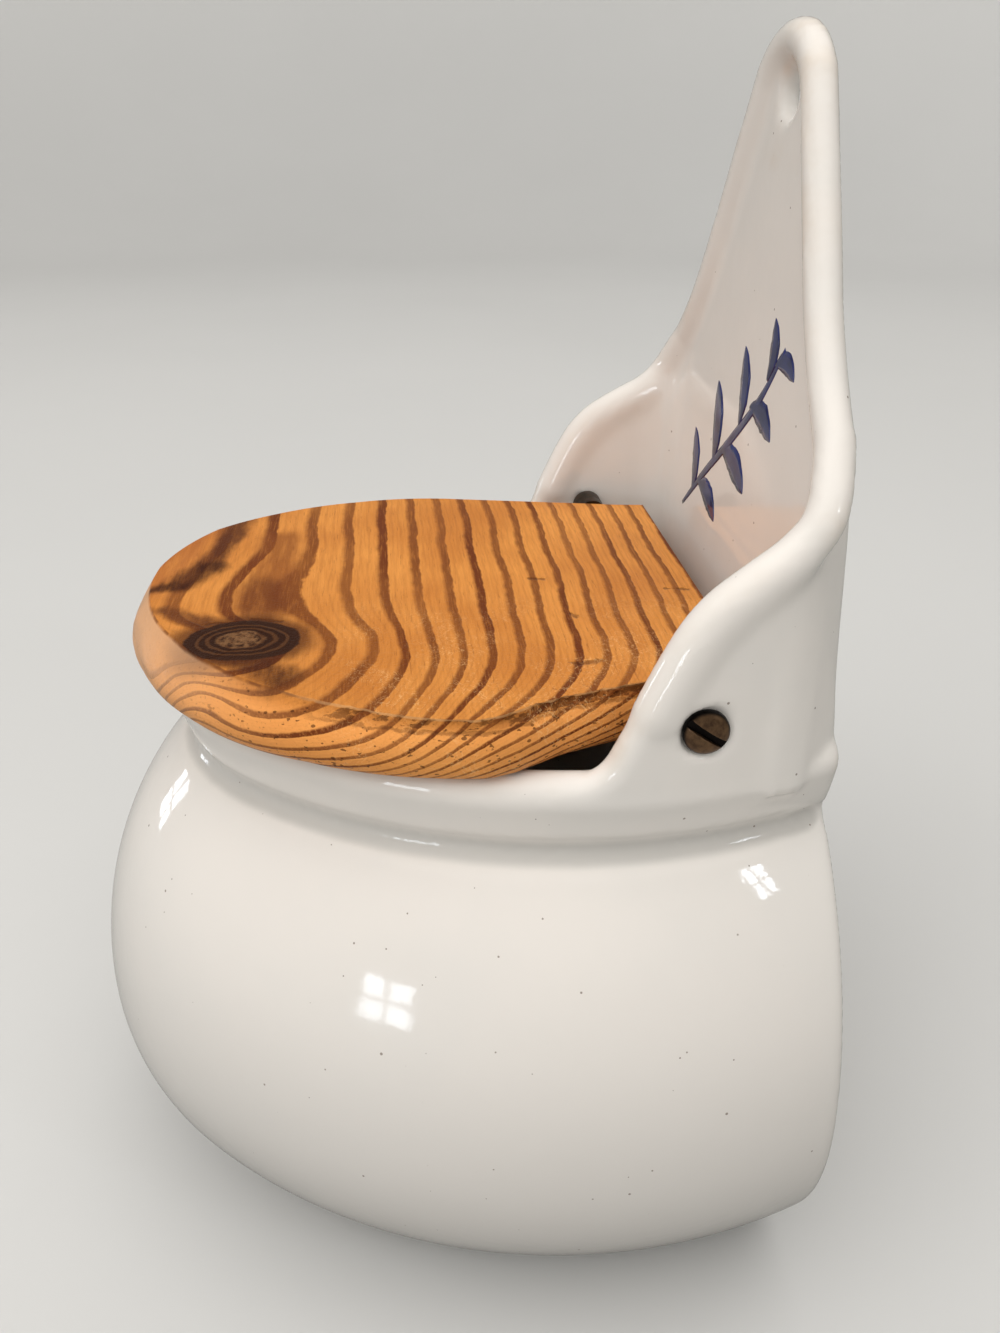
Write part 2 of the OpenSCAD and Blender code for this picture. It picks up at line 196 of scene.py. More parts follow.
def skin(space, corner_at, step):
    """Quads round the solid where the sampled distance turns negative."""
    inside = space < 0
    n = np.array(space.shape) - 1
    corners = [(i, j, k) for i in (0, 1) for j in (0, 1) for k in (0, 1)]
    count = sum(inside[i:n[0] + i, j:n[1] + j, k:n[2] + k].astype(np.int8) for i, j, k in corners)
    mixed = (count > 0) & (count < 8)
    cell = np.argwhere(mixed)
    number = np.full(mixed.shape, -1)
    number[mixed] = np.arange(len(cell))
    total, hits = np.zeros((len(cell), 3)), np.zeros((len(cell), 1))
    for a in corners:
        for axis in range(3):
            if a[axis]:
                continue
            b = tuple(a[i] + (i == axis) for i in range(3))
            sa, sb = space[tuple((cell + a).T)], space[tuple((cell + b).T)]
            cut = ((sa < 0) != (sb < 0))[:, None]
            along = np.where(cut[:, 0], sa / np.where(sa == sb, 1, sa - sb), 0)
            point = np.array(a, float) + along[:, None] * (np.array(b) - np.array(a))
            total += np.where(cut, point, 0)
            hits += cut
    points = np.array(corner_at) + step * (cell + total / hits)
    quads = []
    for axis in range(3):
        o1, o2 = (axis + 1) % 3, (axis + 2) % 3
        here = np.moveaxis(inside, (axis, o1, o2), (0, 1, 2))
        at = np.argwhere(here[:-1, 1:-1, 1:-1] != here[1:, 1:-1, 1:-1]) + (0, 1, 1)
        ids = np.moveaxis(number, (axis, o1, o2), (0, 1, 2))
        quad = np.stack([ids[at[:, 0], at[:, 1] - i, at[:, 2] - j]
                         for i, j in ((1, 1), (0, 1), (0, 0), (1, 0))], 1)
        flip = ~here[at[:, 0], at[:, 1], at[:, 2]]
        quad[flip] = quad[flip][:, ::-1]
        quads.append(quad)
    return points, np.concatenate(quads), cell


solid = np.concatenate([solid[::-1], solid])
points, quads, cell = skin(solid, (-x[-1], y[0], z[0]), VOXEL)
links = np.concatenate([quads[:, [0, 1]], quads[:, [1, 2]], quads[:, [2, 3]], quads[:, [3, 0]]])
degree = np.bincount(links[:, 0], minlength=len(points))[:, None]
for amount in (0.5, -0.52) * 3:
    total = [np.bincount(links[:, 0], points[links[:, 1], i], len(points)) for i in range(3)]
    points += amount * (np.stack(total, 1) / degree - points)

# How sharply the clay turns at each point: over an edge positive, in a hollow negative
s = int(round(3 / VOXEL))
c = np.clip(cell + 1, s, np.array(solid.shape) - 1 - s)
bend = -6 * solid[tuple(c.T)]
for step in ((s, 0, 0), (-s, 0, 0), (0, s, 0), (0, -s, 0), (0, 0, s), (0, 0, -s)):
    bend += solid[tuple((c + step).T)]
bend /= 9
for _ in range(8):
    around = np.bincount(links[:, 0], bend[links[:, 1]], len(points)) / degree[:, 0]
    bend = (bend + around) / 2

points = (points + (0, WALL_Y, 0)) / 1000
points = np.clip(points, np.array(cad_low) + 1e-5, np.array(cad_high) - 1e-5)


def piece(name, verts, faces, smooth=True):
    mesh = bpy.data.meshes.new(name)
    verts = [tuple(p) for p in np.asarray(verts, float)]
    mesh.from_pydata(verts, [], [tuple(int(i) for i in f) for f in faces])
    mesh.polygons.foreach_set("use_smooth", [smooth] * len(mesh.polygons))
    mesh.update()
    obj = bpy.data.objects.new(name, mesh)
    bpy.context.scene.collection.objects.link(obj)
    return obj


def mark(obj, name, values):
    """A value at each vertex that the piece's material reads."""
    layer = obj.data.attributes.new(name, "FLOAT", "POINT")
    layer.data.foreach_set("value", np.asarray(values, np.float32))


class Finish:
    """A material and short ways to add its nodes."""

    def __init__(self, name):
        self.mat = bpy.data.materials.new(name)
        self.mat.use_nodes = True
        self.tree = self.mat.node_tree
        self.shader = self.tree.nodes["Principled BSDF"]
        self.place = self.add("ShaderNodeTexCoord").outputs["Object"]

    def add(self, kind, **inputs):
        node = self.tree.nodes.new(kind)
        for key, value in inputs.items():
            self.put(node.inputs[key.replace("_", " ")], value)
        return node

    def put(self, socket, value):
        if hasattr(value, "links"):
            self.tree.links.new(value, socket)
        else:
            socket.default_value = value

    def math(self, operation, a, b=0.0, c=0.0):
        node = self.tree.nodes.new("ShaderNodeMath")
        node.operation = operation
        for socket, value in zip(node.inputs, (a, b, c)):
            self.put(socket, value)
        return node.outputs[0]

    def plus(self, first, *more):
        for term in more:
            first = self.math("ADD", first, term)
        return first

    def times(self, first, *more):
        for term in more:
            first = self.math("MULTIPLY", first, term)
        return first

    def bell(self, value):
        """One at zero, falling off to both sides."""
        return self.math("POWER", 2.718, self.times(value, value, -1.0))

    def most(self, first, *more):
        for term in more:
            first = self.math("MAXIMUM", first, term)
        return first

    def noise(self, scale, detail=3.0, roughness=0.5, at=None, distortion=0.0):
        node = self.add("ShaderNodeTexNoise", Scale=scale, Detail=detail, Roughness=roughness,
                        Distortion=distortion)
        self.put(node.inputs["Vector"], at or self.place)
        return node.outputs["Fac"]

    def grain(self, scales, detail=3.0, roughness=0.5, turn=(0, 0, 0), distortion=0.0):
        """Noise drawn out along the piece: three scales, one for each axis."""
        return self.noise(1.0, detail, roughness, self.stretch(scales, turn), distortion)

    def waver(self, fac, size):
        """Noise turned into a shift to both sides."""
        return self.times(self.plus(fac, -0.5), size)

    def stretch(self, scale, turn=(0, 0, 0), at=None):
        node = self.add("ShaderNodeMapping")
        node.inputs["Scale"].default_value = scale
        node.inputs["Rotation"].default_value = turn
        self.put(node.inputs["Vector"], at or self.place)
        return node.outputs["Vector"]

    def range(self, value, low, high, to_low=0.0, to_high=1.0):
        node = self.add("ShaderNodeMapRange")
        node.interpolation_type = "SMOOTHSTEP"
        for socket, v in zip(node.inputs, (value, low, high, to_low, to_high)):
            self.put(socket, v)
        return node.outputs[0]

    def mix(self, amount, a, b, blend="MIX"):
        node = self.tree.nodes.new("ShaderNodeMix")
        node.data_type = "RGBA"
        node.blend_type = blend
        self.put(node.inputs[0], amount)
        for socket, value in ((node.inputs[6], a), (node.inputs[7], b)):
            self.put(socket, value if hasattr(value, "links") else (*value, 1.0))
        return node.outputs[2]

    def bump(self, height, strength, distance, normal=None):
        node = self.add("ShaderNodeBump", Height=height, Strength=strength, Distance=distance)
        if normal:
            self.put(node.inputs["Normal"], normal)
        return node.outputs["Normal"]

    def value(self, name):
        node = self.tree.nodes.new("ShaderNodeAttribute")
        node.attribute_name = name
        return node.outputs["Fac"]

    def length(self, a, b):
        return self.math("SQRT", self.plus(self.times(a, a), self.times(b, b)))

    def cells(self, scale, at=None):
        node = self.add("ShaderNodeTexVoronoi", Scale=scale)
        self.put(node.inputs["Vector"], at or self.place)
        pick = self.add("ShaderNodeSeparateColor", Color=node.outputs["Color"])
        return node.outputs["Distance"], pick.outputs[0]

    def to_segment(self, px, py, start, end):
        """Distance of the place (px, py) to a straight line between two points."""
        ex, ey = end[0] - start[0], end[1] - start[1]
        dx, dy = self.plus(px, -start[0]), self.plus(py, -start[1])
        along = self.math("DIVIDE", self.plus(self.times(dx, ex), self.times(dy, ey)), ex * ex + ey * ey)
        along = self.math("MINIMUM", self.most(along, 0.0), 1.0)
        return self.length(self.plus(dx, self.times(along, -ex)), self.plus(dy, self.times(along, -ey)))

    def set(self, **inputs):
        for key, value in inputs.items():
            self.put(self.shader.inputs[key.replace("_", " ")], value)


def paint(obj, finish):
    obj.data.materials.clear()
    obj.data.materials.append(finish.mat)


glaze = Finish("tin glaze")
cloud = glaze.noise(16, 4, 0.6)
colour = glaze.mix(glaze.range(cloud, 0.35, 0.65), (0.80, 0.755, 0.705), (0.75, 0.718, 0.676))
turn = glaze.value("bend")
# Painted shade: the hollows and the crease under the collar are painted grey
hollow_shade = glaze.times(glaze.range(turn, -0.03, -0.30), 0.66)
colour = glaze.mix(hollow_shade, colour, (0.45, 0.435, 0.405))
height = glaze.add("ShaderNodeSeparateXYZ", Vector=glaze.place).outputs[2]
# Painted shade: the glaze is painted darker towards the bottom of the bowl
shade_low_down = glaze.range(glaze.plus(height, glaze.times(cloud, 0.03)), 0.135, 0.02)
colour = glaze.mix(shade_low_down, colour, (0.64, 0.61, 0.575))
patchy = glaze.range(glaze.noise(60, 4, 0.65), 0.42, 0.7, 0.05, 0.5)
thin = glaze.times(glaze.range(turn, 0.16, 0.55), patchy, glaze.range(height, 0.105, 0.125))
colour = glaze.mix(thin, colour, (0.60, 0.44, 0.28))
reach_of, pick = glaze.cells(400)
speck = glaze.math("LESS_THAN", reach_of, glaze.times(glaze.math("POWER", pick, 5.0), 0.11))
colour = glaze.mix(glaze.times(speck, 0.75), colour, (0.17, 0.12, 0.09))
reach_of, pick = glaze.cells(62)
spot = glaze.range(reach_of, glaze.times(glaze.math("POWER", pick, 10.0), 0.034), 0.0)
colour = glaze.mix(glaze.times(spot, 0.8), colour, (0.12, 0.09, 0.07))
normal = glaze.bump(glaze.noise(38, 2, 0.5), 0.10, 0.002)
normal = glaze.bump(glaze.plus(glaze.noise(420, 2), glaze.times(speck, -1.5)), 0.03, 0.0006, normal)
glaze.set(Base_Color=colour, Roughness=glaze.range(glaze.noise(25, 3), 0.3, 0.7, 0.05, 0.10), Normal=normal)
glaze.shader.inputs["IOR"].default_value = 1.52

body = piece("pot", points, quads)
mark(body, "bend", bend)
paint(body, glaze)
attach(body, "pot")
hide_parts("ceramic_body")


# The painted sprig: a few strokes of cobalt laid on the raw glaze with a soft brush, so they
# sank into it in the firing. It sits at a slant on the field of the plate.
def stroke(bends, widths):
    """Outline strip of one brush stroke; bends are points (x, height) on the field in millimetres."""
    bends = [Vector(b) for b in bends]
    line, wide = [], []
    for i in range(len(bends) - 1):
        for s in np.linspace(0, 1, 8, endpoint=i == len(bends) - 2):
            line.append(through(bends, i, s))
            wide.append(widths[i] + (widths[i + 1] - widths[i]) * s)
    rows = []
    for i, p in enumerate(line):
        ahead = (line[min(i + 1, len(line) - 1)] - line[max(i - 1, 0)]).normalized()
        across = Vector((-ahead.y, ahead.x))
        half = wide[i] / 2 * (1 + 0.08 * noise.noise((p.x * 0.7, p.y * 0.7, 3.0)))
        rows.append([p + across * half * k for k in (-1, -0.5, 0, 0.5, 1)])
    return rows


def on_field(p, out):
    """A point (x, height) of the field in the shared frame, in metres, standing out by so much."""
    front = PLATE_TOP_Y - (0.8 + out - (p.y - PLATE_TOP_Z) * math.sin(lean)) / math.cos(lean)
    return (p.x / 1000, (front + WALL_Y) / 1000, p.y / 1000)


strokes = [stroke([(-31, 136), (-18, 147), (-4, 158), (10, 170), (19, 181)], (1.0, 2.0, 2.3, 2.0, 0.9))]
leaves = ((0.12, 62, 14, 5.0), (0.2, -58, 15, 5.2), (0.36, 60, 17, 5.8), (0.46, -56, 17, 5.8),
          (0.62, 58, 15, 5.2), (0.72, -54, 14, 5.0), (0.86, 50, 11, 4.2), (0.93, -46, 10, 3.8))
for along, turn_deg, length, width in leaves:
    start = Vector((-31 + 50 * along, 136 + 45 * along - 1.5 * math.sin(math.pi * along)))
    way = math.radians(42 + turn_deg)
    ahead, across = Vector((math.cos(way), math.sin(way))), Vector((-math.sin(way), math.cos(way)))
    lift = math.copysign(1.8, -turn_deg)
    spine = [start + ahead * length * s + across * lift * math.sin(math.pi * s)
             for s in (0, 0.3, 0.6, 0.85, 1)]
    strokes.append(stroke(spine, (0.7, width * 0.95, width * 1.15, width * 0.7, 0.2)))
sprig_points, sprig_faces, tone = [], [], []
for rows in strokes:
    base = len(sprig_points)
    for i, row in enumerate(rows):
        sprig_points += [on_field(p, out) for p, out in zip(row, (0.02, 0.06, 0.08, 0.06, 0.02))]
        sprig_points += [on_field(row[4], -0.4), on_field(row[0], -0.4)]
        tone += [i / (len(rows) - 1)] * 7
    for i in range(base, len(sprig_points) - 7, 7):
        sprig_faces += [(i + k, i + 7 + k, i + 7 + (k + 1) % 7, i + (k + 1) % 7) for k in range(7)]
    sprig_faces += [tuple(base + k for k in range(7)), tuple(len(sprig_points) - 1 - k for k in range(7))]
sprig = piece("cobalt_sprig", sprig_points, sprig_faces)
mark(sprig, "tone", tone)
cobalt = Finish("cobalt under glaze")
wash = cobalt.plus(cobalt.noise(300, 3, 0.6), cobalt.times(cobalt.value("tone"), -0.25))
colour = cobalt.mix(cobalt.range(wash, 0.2, 0.6), (0.022, 0.029, 0.130), (0.006, 0.008, 0.052))
cobalt.set(Base_Color=colour, Roughness=cobalt.range(cobalt.noise(40), 0.3, 0.7, 0.07, 0.14))
paint(sprig, cobalt)
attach(sprig, "pot")


# The lid: one board of slow-grown pine with the grain across it and a knot near the front, sawn
# round, worn to a bull nose and waxed. Its top edge is chipped all along. It lies on the rim and
# turns on two screws driven into its sides.
LID_TOP, LID_R, LID_MID_Y, LID_BACK_Y = 131.6, 55, -73.5, -15.2
outline = [(42.77, LID_BACK_Y)] + arc(0, LID_MID_Y, LID_R, 13.2, -193.2, 300) + [(-42.77, LID_BACK_Y)]
path = [Vector(outline[0])]
for a, b in zip(outline, outline[1:] + outline[:1]):
    a, b = Vector(a), Vector(b)
    count = max(1, int((b - a).length / 0.55))
    path += [a + (b - a) * (i + 1) / count for i in range(count)]
path = path[:-1]

# Wear: how far the top edge and the fullest line of the side stand from the sawn outline, by direction
top_edge = ((-234, -1.0), (-195, -1.9), (-168, -2.2), (-147, -0.9), (-130, 0.8), (-105, -0.8),
            (-88, -3.1), (-64, -6.0), (-45, -6.4), (-28, -5.2), (-13, -2.8), (1, 1.2), (8, 3.3),
            (13, 3.0), (20, 1.2), (26, 0.5), (32, 0.2), (54, -0.5))
full_line = ((-234, 0.5), (-180, 1.0), (-147, 1.5), (-124, 2.4), (-88, 1.2), (-70, -0.2),
             (-50, -0.4), (-21, 0.6), (-11, 2.0), (1, 4.0), (10, 6.0), (15, 5.6), (20, 4.2),
             (24, 3.0), (30, 2.2), (40, 1.3), (54, 0.4))

# Rings from top to underside: share of the way out to the fullest line where the edge is smooth,
# the same where it is chipped, and the depth below the top
rings = ((0.0, 0.0, 0.0), (0.12, 0.02, 0.5), (0.25, 0.06, 1.1), (0.39, 0.2, 1.8), (0.54, 0.55, 2.6),
         (0.79, 0.86, 4.2), (0.94, 0.98, 5.6), (1.0, 1.0, 6.8), (0.98, 0.98, 8.0), (0.8, 0.84, 9.4),
         (0.5, 0.6, 10.5), (0.1, 0.2, 11.1), (-0.4, -0.3, 11.3))
FULLEST = 8
CHIP_DEEP = (0.5, 1.3, 1.5, 0.9, 0.3)
lid_points = []
for ring, (smooth_part, chipped_part, drop) in enumerate(rings):
    for i, p in enumerate(path):
        along = (path[(i + 1) % len(path)] - path[i - 1]).normalized()
        away = Vector((-along.y, along.x))
        if away.dot(p - Vector((0, -70))) < 0:
            away = -away
        way = math.degrees(math.atan2(p.y - LID_MID_Y, p.x))
        way = way - 360 if way > 90 else way
        edge_out, full_out = np.interp(way, *zip(*top_edge)), np.interp(way, *zip(*full_line))
        chipped = np.interp(way, (-40, -15, 0, 42, 50), (0, 0.6, 1, 1, 0.2))
        part = smooth_part + (chipped_part - smooth_part) * chipped
        out = edge_out + (full_out - edge_out) * part if ring < FULLEST else full_out - 3.2 * (1 - part)
        if ring < len(CHIP_DEEP):
            nibble = sum(much * noise.noise((p.x * fine, p.y * fine, ring * layer))
                         for much, fine, layer in ((1.0, 0.3, 0.0), (0.7, 0.8, 1.7), (0.4, 2.0, 3.1)))
            out -= chipped * max(0, nibble) * CHIP_DEEP[ring]
        front_on = min(1.0, max(0.0, (-p.y - 15.5) / 6))
        q = p + away * (out * front_on + (0.05 * drop - 0.5) * (1 - front_on))
        lid_points.append((q.x / 1000, (q.y + WALL_Y) / 1000, (LID_TOP - drop) / 1000))


def bands(rows, n):
    """Faces between rings of n points each."""
    return [(r * n + i, r * n + (i + 1) % n, (r + 1) * n + (i + 1) % n, (r + 1) * n + i)
            for r in range(rows - 1) for i in range(n)]


n = len(path)
lid_faces = bands(len(rings), n)
lid_faces += [tuple(reversed(range(n))), tuple(range((len(rings) - 1) * n, len(rings) * n))]
lid = piece("pine_lid", lid_points, lid_faces)
for e in lid.data.edges:
    e.use_edge_sharp = max(e.vertices) < n

pine = Finish("waxed pine")
gx, gy, gz = pine.add("ShaderNodeSeparateXYZ", Vector=pine.stretch((1000, 1000, 1000))).outputs
gy = pine.plus(gy, -WALL_Y)
depth = pine.math("SUBTRACT", LID_TOP, gz)

# Growth rings: straight across the board, crowded to the back, pushed aside by the knot
behind = pine.plus(gy, 105.7)
sway = pine.waver(pine.grain((26, 9, 20), 2), 5.0)
shiver = pine.plus(pine.waver(pine.grain((90, 50, 50), 3, 0.6), 1.4),
                   pine.waver(pine.grain((330, 700, 700), 2, 0.6), 0.7))
push = pine.bell(pine.math("DIVIDE", pine.plus(gx, -28), pine.range(gx, 20, 36, 12, 21)))
fade = pine.math("MINIMUM", 0, pine.times(pine.plus(behind, -25), -0.09))
push = pine.times(push, -6.5, pine.math("POWER", 2.718, fade))
pull = pine.times(pine.range(gx, -32, 4), pine.range(gx, 24, 10), pine.range(behind, 16, 0), 6.5)
turned = pine.times(pine.most(pine.plus(gx, -34), 0), 0.146)
aside = pine.times(pine.most(pine.plus(gx, -23.8), 0), 0.75)
wrapped = pine.plus(pine.length(aside, behind), -6.5)
wrap = pine.times(pine.range(gx, 24, 42), pine.range(behind, 45, 18))
ring = pine.plus(behind, push, pull, pine.times(turned, turned))
ring = pine.plus(pine.times(ring, pine.math("SUBTRACT", 1.0, wrap)), pine.times(wrapped, wrap))
apex = pine.bell(pine.times(pine.length(pine.plus(gx, -34), pine.plus(gy, 109)), 1 / 12))
apex = pine.times(apex, pine.range(depth, 0.2, 4.0), 13.0)
ring = pine.plus(ring, sway, shiver, pine.times(depth, 1.1), pine.times(depth, depth, 0.13), apex)
count = pine.plus(pine.times(ring, 0.1006), pine.times(ring, ring, 0.00077), 0.296)
saw = pine.math("FRACT", count)
late = pine.times(pine.range(saw, 0.27, 0.43), pine.range(saw, 0.66, 0.61))
strong = pine.math("SINE", pine.plus(pine.times(pine.math("FLOOR", count), 2.1), 1.5))
strong = pine.plus(pine.times(strong, 0.11), 0.88)
strong = pine.times(strong, pine.range(pine.grain((25, 60, 60)), 0.3, 0.6, 0.75, 1.0))
fibre = pine.grain((110, 1800, 1800), 4, 0.65)
flame = pine.grain((22, 30, 30), 3, 0.6)
colour = pine.mix(pine.range(flame, 0.3, 0.7), (0.53, 0.188, 0.036), (0.73, 0.305, 0.070))
colour = pine.mix(pine.times(pine.range(fibre, 0.35, 0.7), 0.38), colour, (0.40, 0.135, 0.024))
# Painted light: the sawn side and the underside are painted lighter than the top
colour = pine.mix(pine.times(pine.range(depth, 0.8, 3.0), 0.6), colour, (0.86, 0.36, 0.10))
pinstripe = pine.range(pine.math("SINE", pine.times(count, 25.1)), 0.2, 1.0)
pinstripe = pine.times(pinstripe, pine.range(depth, 0.0, 2.0, 0.14, 0.05))
colour = pine.mix(pinstripe, colour, (0.25, 0.080, 0.018))
fleck = pine.grain((170, 2400, 2400), 3, 0.6)
late = pine.times(late, pine.range(fleck, 0.30, 0.52, 0.72, 1.0))
colour = pine.mix(pine.times(pine.range(fleck, 0.62, 0.70), 0.40), colour, (0.20, 0.060, 0.014))
colour = pine.mix(pine.times(late, strong), colour, (0.135, 0.031, 0.007))

# Resin stains in front of the knot and beside it
smear = pine.waver(pine.grain((80, 150, 150), 4, 0.65), 5.0)
streak = pine.waver(pine.grain((50, 500, 500), 3, 0.6), 2.4)
bleed = pine.range(pine.grain((60, 420, 420), 4, 0.7), 0.34, 0.6, 0.68, 1.0)
stains = ((((-50, -122), (-6, -126)), 10.0, 0.55, (0.30, 0.080, 0.022)),
          (((-28, -101), (8, -103)), 6.5, 0.66, (0.17, 0.042, 0.010)),
          (((0, -104), (12, -102.5)), 7.5, 0.66, (0.11, 0.027, 0.008)),
          (((-42, -111.5), (-13, -115.5)), 4.0, 0.88, (0.070, 0.017, 0.006)),
          (((-13, -115.5), (-3, -121)), 4.6, 0.90, (0.040, 0.010, 0.004)),
          (((-3, -121), (-1, -127)), 3.0, 0.88, (0.040, 0.010, 0.004)),
          (((9, -122), (15, -114)), 3.4, 0.80, (0.085, 0.023, 0.009)),
          (((30, -106), (39, -97.5)), 5.5, 0.90, (0.055, 0.015, 0.006)))
for ends, wide, amount, stain in stains:
    gone = pine.plus(pine.to_segment(gx, gy, *ends), smear, streak)
    colour = pine.mix(pine.times(pine.range(gone, wide * 1.1, wide * 0.25), amount, bleed), colour, stain)

# The knot, with its own fine rings and a pale split heart
kx, ky = pine.times(pine.plus(gx, -23.8), 1 / 8.8), pine.times(pine.plus(gy, 105.3), 1 / 11.2)
rho = pine.plus(pine.length(kx, ky), pine.waver(pine.noise(110, 4, 0.6), 0.32))
knot_ring = pine.range(pine.math("SINE", pine.times(rho, 37.0)), -0.2, 0.9)
knot = pine.mix(knot_ring, (0.028, 0.009, 0.004), (0.080, 0.031, 0.012))
knot = pine.mix(pine.range(rho, 0.74, 0.84), knot, (0.034, 0.012, 0.006))
heart = pine.times(pine.range(rho, 0.46, 0.36), pine.range(pine.noise(330, 4, 0.7), 0.42, 0.6))
knot = pine.mix(pine.times(heart, 0.7), knot, (0.24, 0.118, 0.050))
halo = pine.times(pine.range(pine.plus(rho, pine.times(streak, 0.04)), 1.45, 1.0), 0.8)
colour = pine.mix(halo, colour, (0.070, 0.018, 0.006))
colour = pine.mix(pine.range(rho, 1.0, 0.93), colour, knot)

# Nicks on the top, open pores on the sawn side, the worn nose and the torn top edge, dark partly from torn
# fibres and partly from painted shadow, with a painted shadow line below it
nick = 0.0
nicks = ((((0.4, -48.6), (0.6, -48.0)), 1.5), (((0.6, -46.6), (0.8, -46.2)), 1.2),
         (((18.6, -43.0), (19.8, -42.6)), 1.3), (((39.6, -45.6), (39.0, -41.8)), 1.4),
         (((8.6, -22), (9.2, -18)), 1.0), (((16.2, -112), (15.6, -107)), 1.1),
         (((14.8, -104), (16.4, -98.5)), 1.1))
ragged = pine.times(pine.plus(pine.noise(620, 3, 0.6), -0.42), 3.0)
for ends, wide in nicks:
    gone = pine.plus(pine.to_segment(gx, gy, *ends), ragged)
    nick = pine.most(nick, pine.range(gone, wide, wide * 0.4))
reach_of, pick = pine.cells(1.0, at=pine.stretch((620, 430, 760), (0, 0, 0.5)))
pore = pine.math("LESS_THAN", reach_of, pine.times(pine.math("POWER", pick, 1.5), 0.24))
pore = pine.most(pore, pine.range(pine.grain((900, 620, 1300), 2, 0.5, (0.3, 0, 0.5)), 0.655, 0.685))
pore = pine.times(pore, pine.range(depth, 0.3, 1.2), pine.range(depth, 11.2, 10.2, 0.3, 1.0),
                  pine.range(gy, -118, -98, 0.1, 1.0))
nose = pine.times(pine.range(depth, 0.1, 0.6), pine.range(depth, 11.2, 9.4),
                  pine.range(gy, -92, -112), pine.range(gx, 48, 10, 0.15, 1.0))
colour = pine.mix(pine.times(nose, 0.85), colour, (0.62, 0.36, 0.20))
torn = pine.plus(depth, pine.waver(pine.grain((300, 300, 600), 4, 0.65), 1.6))
near_side = pine.times(pine.range(gx, 40, 46), pine.range(gy, -100, -84))
# Partly torn fibres, partly painted shadow in the chips: the dark band along the torn top edge
tear_and_shadow = pine.times(near_side, pine.range(torn, 0.2, 0.45), pine.range(torn, 2.0, 1.75))
# Painted shadow: a dark line under the torn band
under = pine.times(near_side, pine.range(torn, 1.9, 2.15), pine.range(torn, 2.55, 2.3))
split = pine.range(pine.grain((420, 260, 620), 4, 0.6),
                   pine.range(gy, -70, -50, 0.55, 0.40), pine.range(gy, -70, -50, 0.62, 0.52))
colour = pine.mix(pine.times(tear_and_shadow, pine.range(gy, -70, -48, 0.15, 0.6)), colour, (0.23, 0.064, 0.016))
# Dark marks: real nicks and pores, with the painted shadow of the tear
dark = pine.most(pine.times(nick, 0.62), pine.times(pore, 0.8), pine.times(tear_and_shadow, split, 0.72),
                 pine.times(under, 0.5))
colour = pine.mix(pine.times(dark, 0.9), colour, (0.052, 0.014, 0.005))

# A painted shade line under the front edge, a pale lip above the tear that is partly wear and partly painted
# highlight, and fine painted glints of light on the wax
# Painted shade: a thin dark line along the front edge
edge_shade_line = pine.times(pine.range(depth, 0.02, 0.15), pine.range(depth, 0.6, 0.25),
                  pine.range(gx, 0, 14), pine.range(gy, -84, -96))
edge_shade_line = pine.times(edge_shade_line, pine.range(pine.noise(260, 3), 0.4, 0.6, 0.2, 0.75))
colour = pine.mix(edge_shade_line, colour, (0.14, 0.045, 0.016))
# Partly wear, partly painted highlight: a pale line along the top edge above the tear
worn_lip_and_highlight = pine.times(near_side, pine.range(depth, 0.0, 0.02), pine.range(depth, 0.55, 0.3),
                 pine.math("SUBTRACT", 1.0, dark))
colour = pine.mix(pine.times(worn_lip_and_highlight, 0.45), colour, (0.74, 0.42, 0.19))
# Painted reflection: fine pale glints on the uneven wax
wax_glints = pine.grain((330, 420, 420), 2, 0.5, distortion=1.8)
wax_glints = pine.range(pine.math("ABSOLUTE", pine.plus(wax_glints, -0.5)), 0.022, 0.006)
wax_glints = pine.times(wax_glints, pine.range(gx, 0, 30), pine.range(behind, 14, 24),
                      pine.range(pine.noise(90, 2), 0.42, 0.58))
colour = pine.mix(pine.times(wax_glints, 0.30), colour, (0.93, 0.58, 0.26))
relief = pine.plus(pine.times(fibre, 0.3), pine.times(late, 0.4), pine.times(dark, -1.3))
normal = pine.bump(relief, 0.5, 0.0004)
crackle = pine.grain((600, 750, 750), 3, 0.6, distortion=1.6)
normal = pine.bump(pine.times(crackle, pine.range(gx, -10, 35, 0.25, 1.0)), 0.32, 0.0005, normal)
pine.set(Base_Color=colour, Roughness=pine.range(flame, 0.3, 0.7, 0.30, 0.46), Normal=normal)
pine.shader.inputs["Specular IOR Level"].default_value = 0.07
paint(lid, pine)
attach(lid, "lid_set")
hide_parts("lid")


# The pivot screws: round-head slotted wood screws in brass gone dark brown, sunk a little into
# the glaze at each ear. They turn with the lid.
bronze = Finish("old brass")
tarnish = bronze.noise(700, 4, 0.6)
colour = bronze.mix(bronze.range(tarnish, 0.3, 0.7), (0.085, 0.048, 0.027), (0.20, 0.115, 0.058))
along = bronze.math("ABSOLUTE", bronze.add("ShaderNodeSeparateXYZ", Vector=bronze.place).outputs[0])
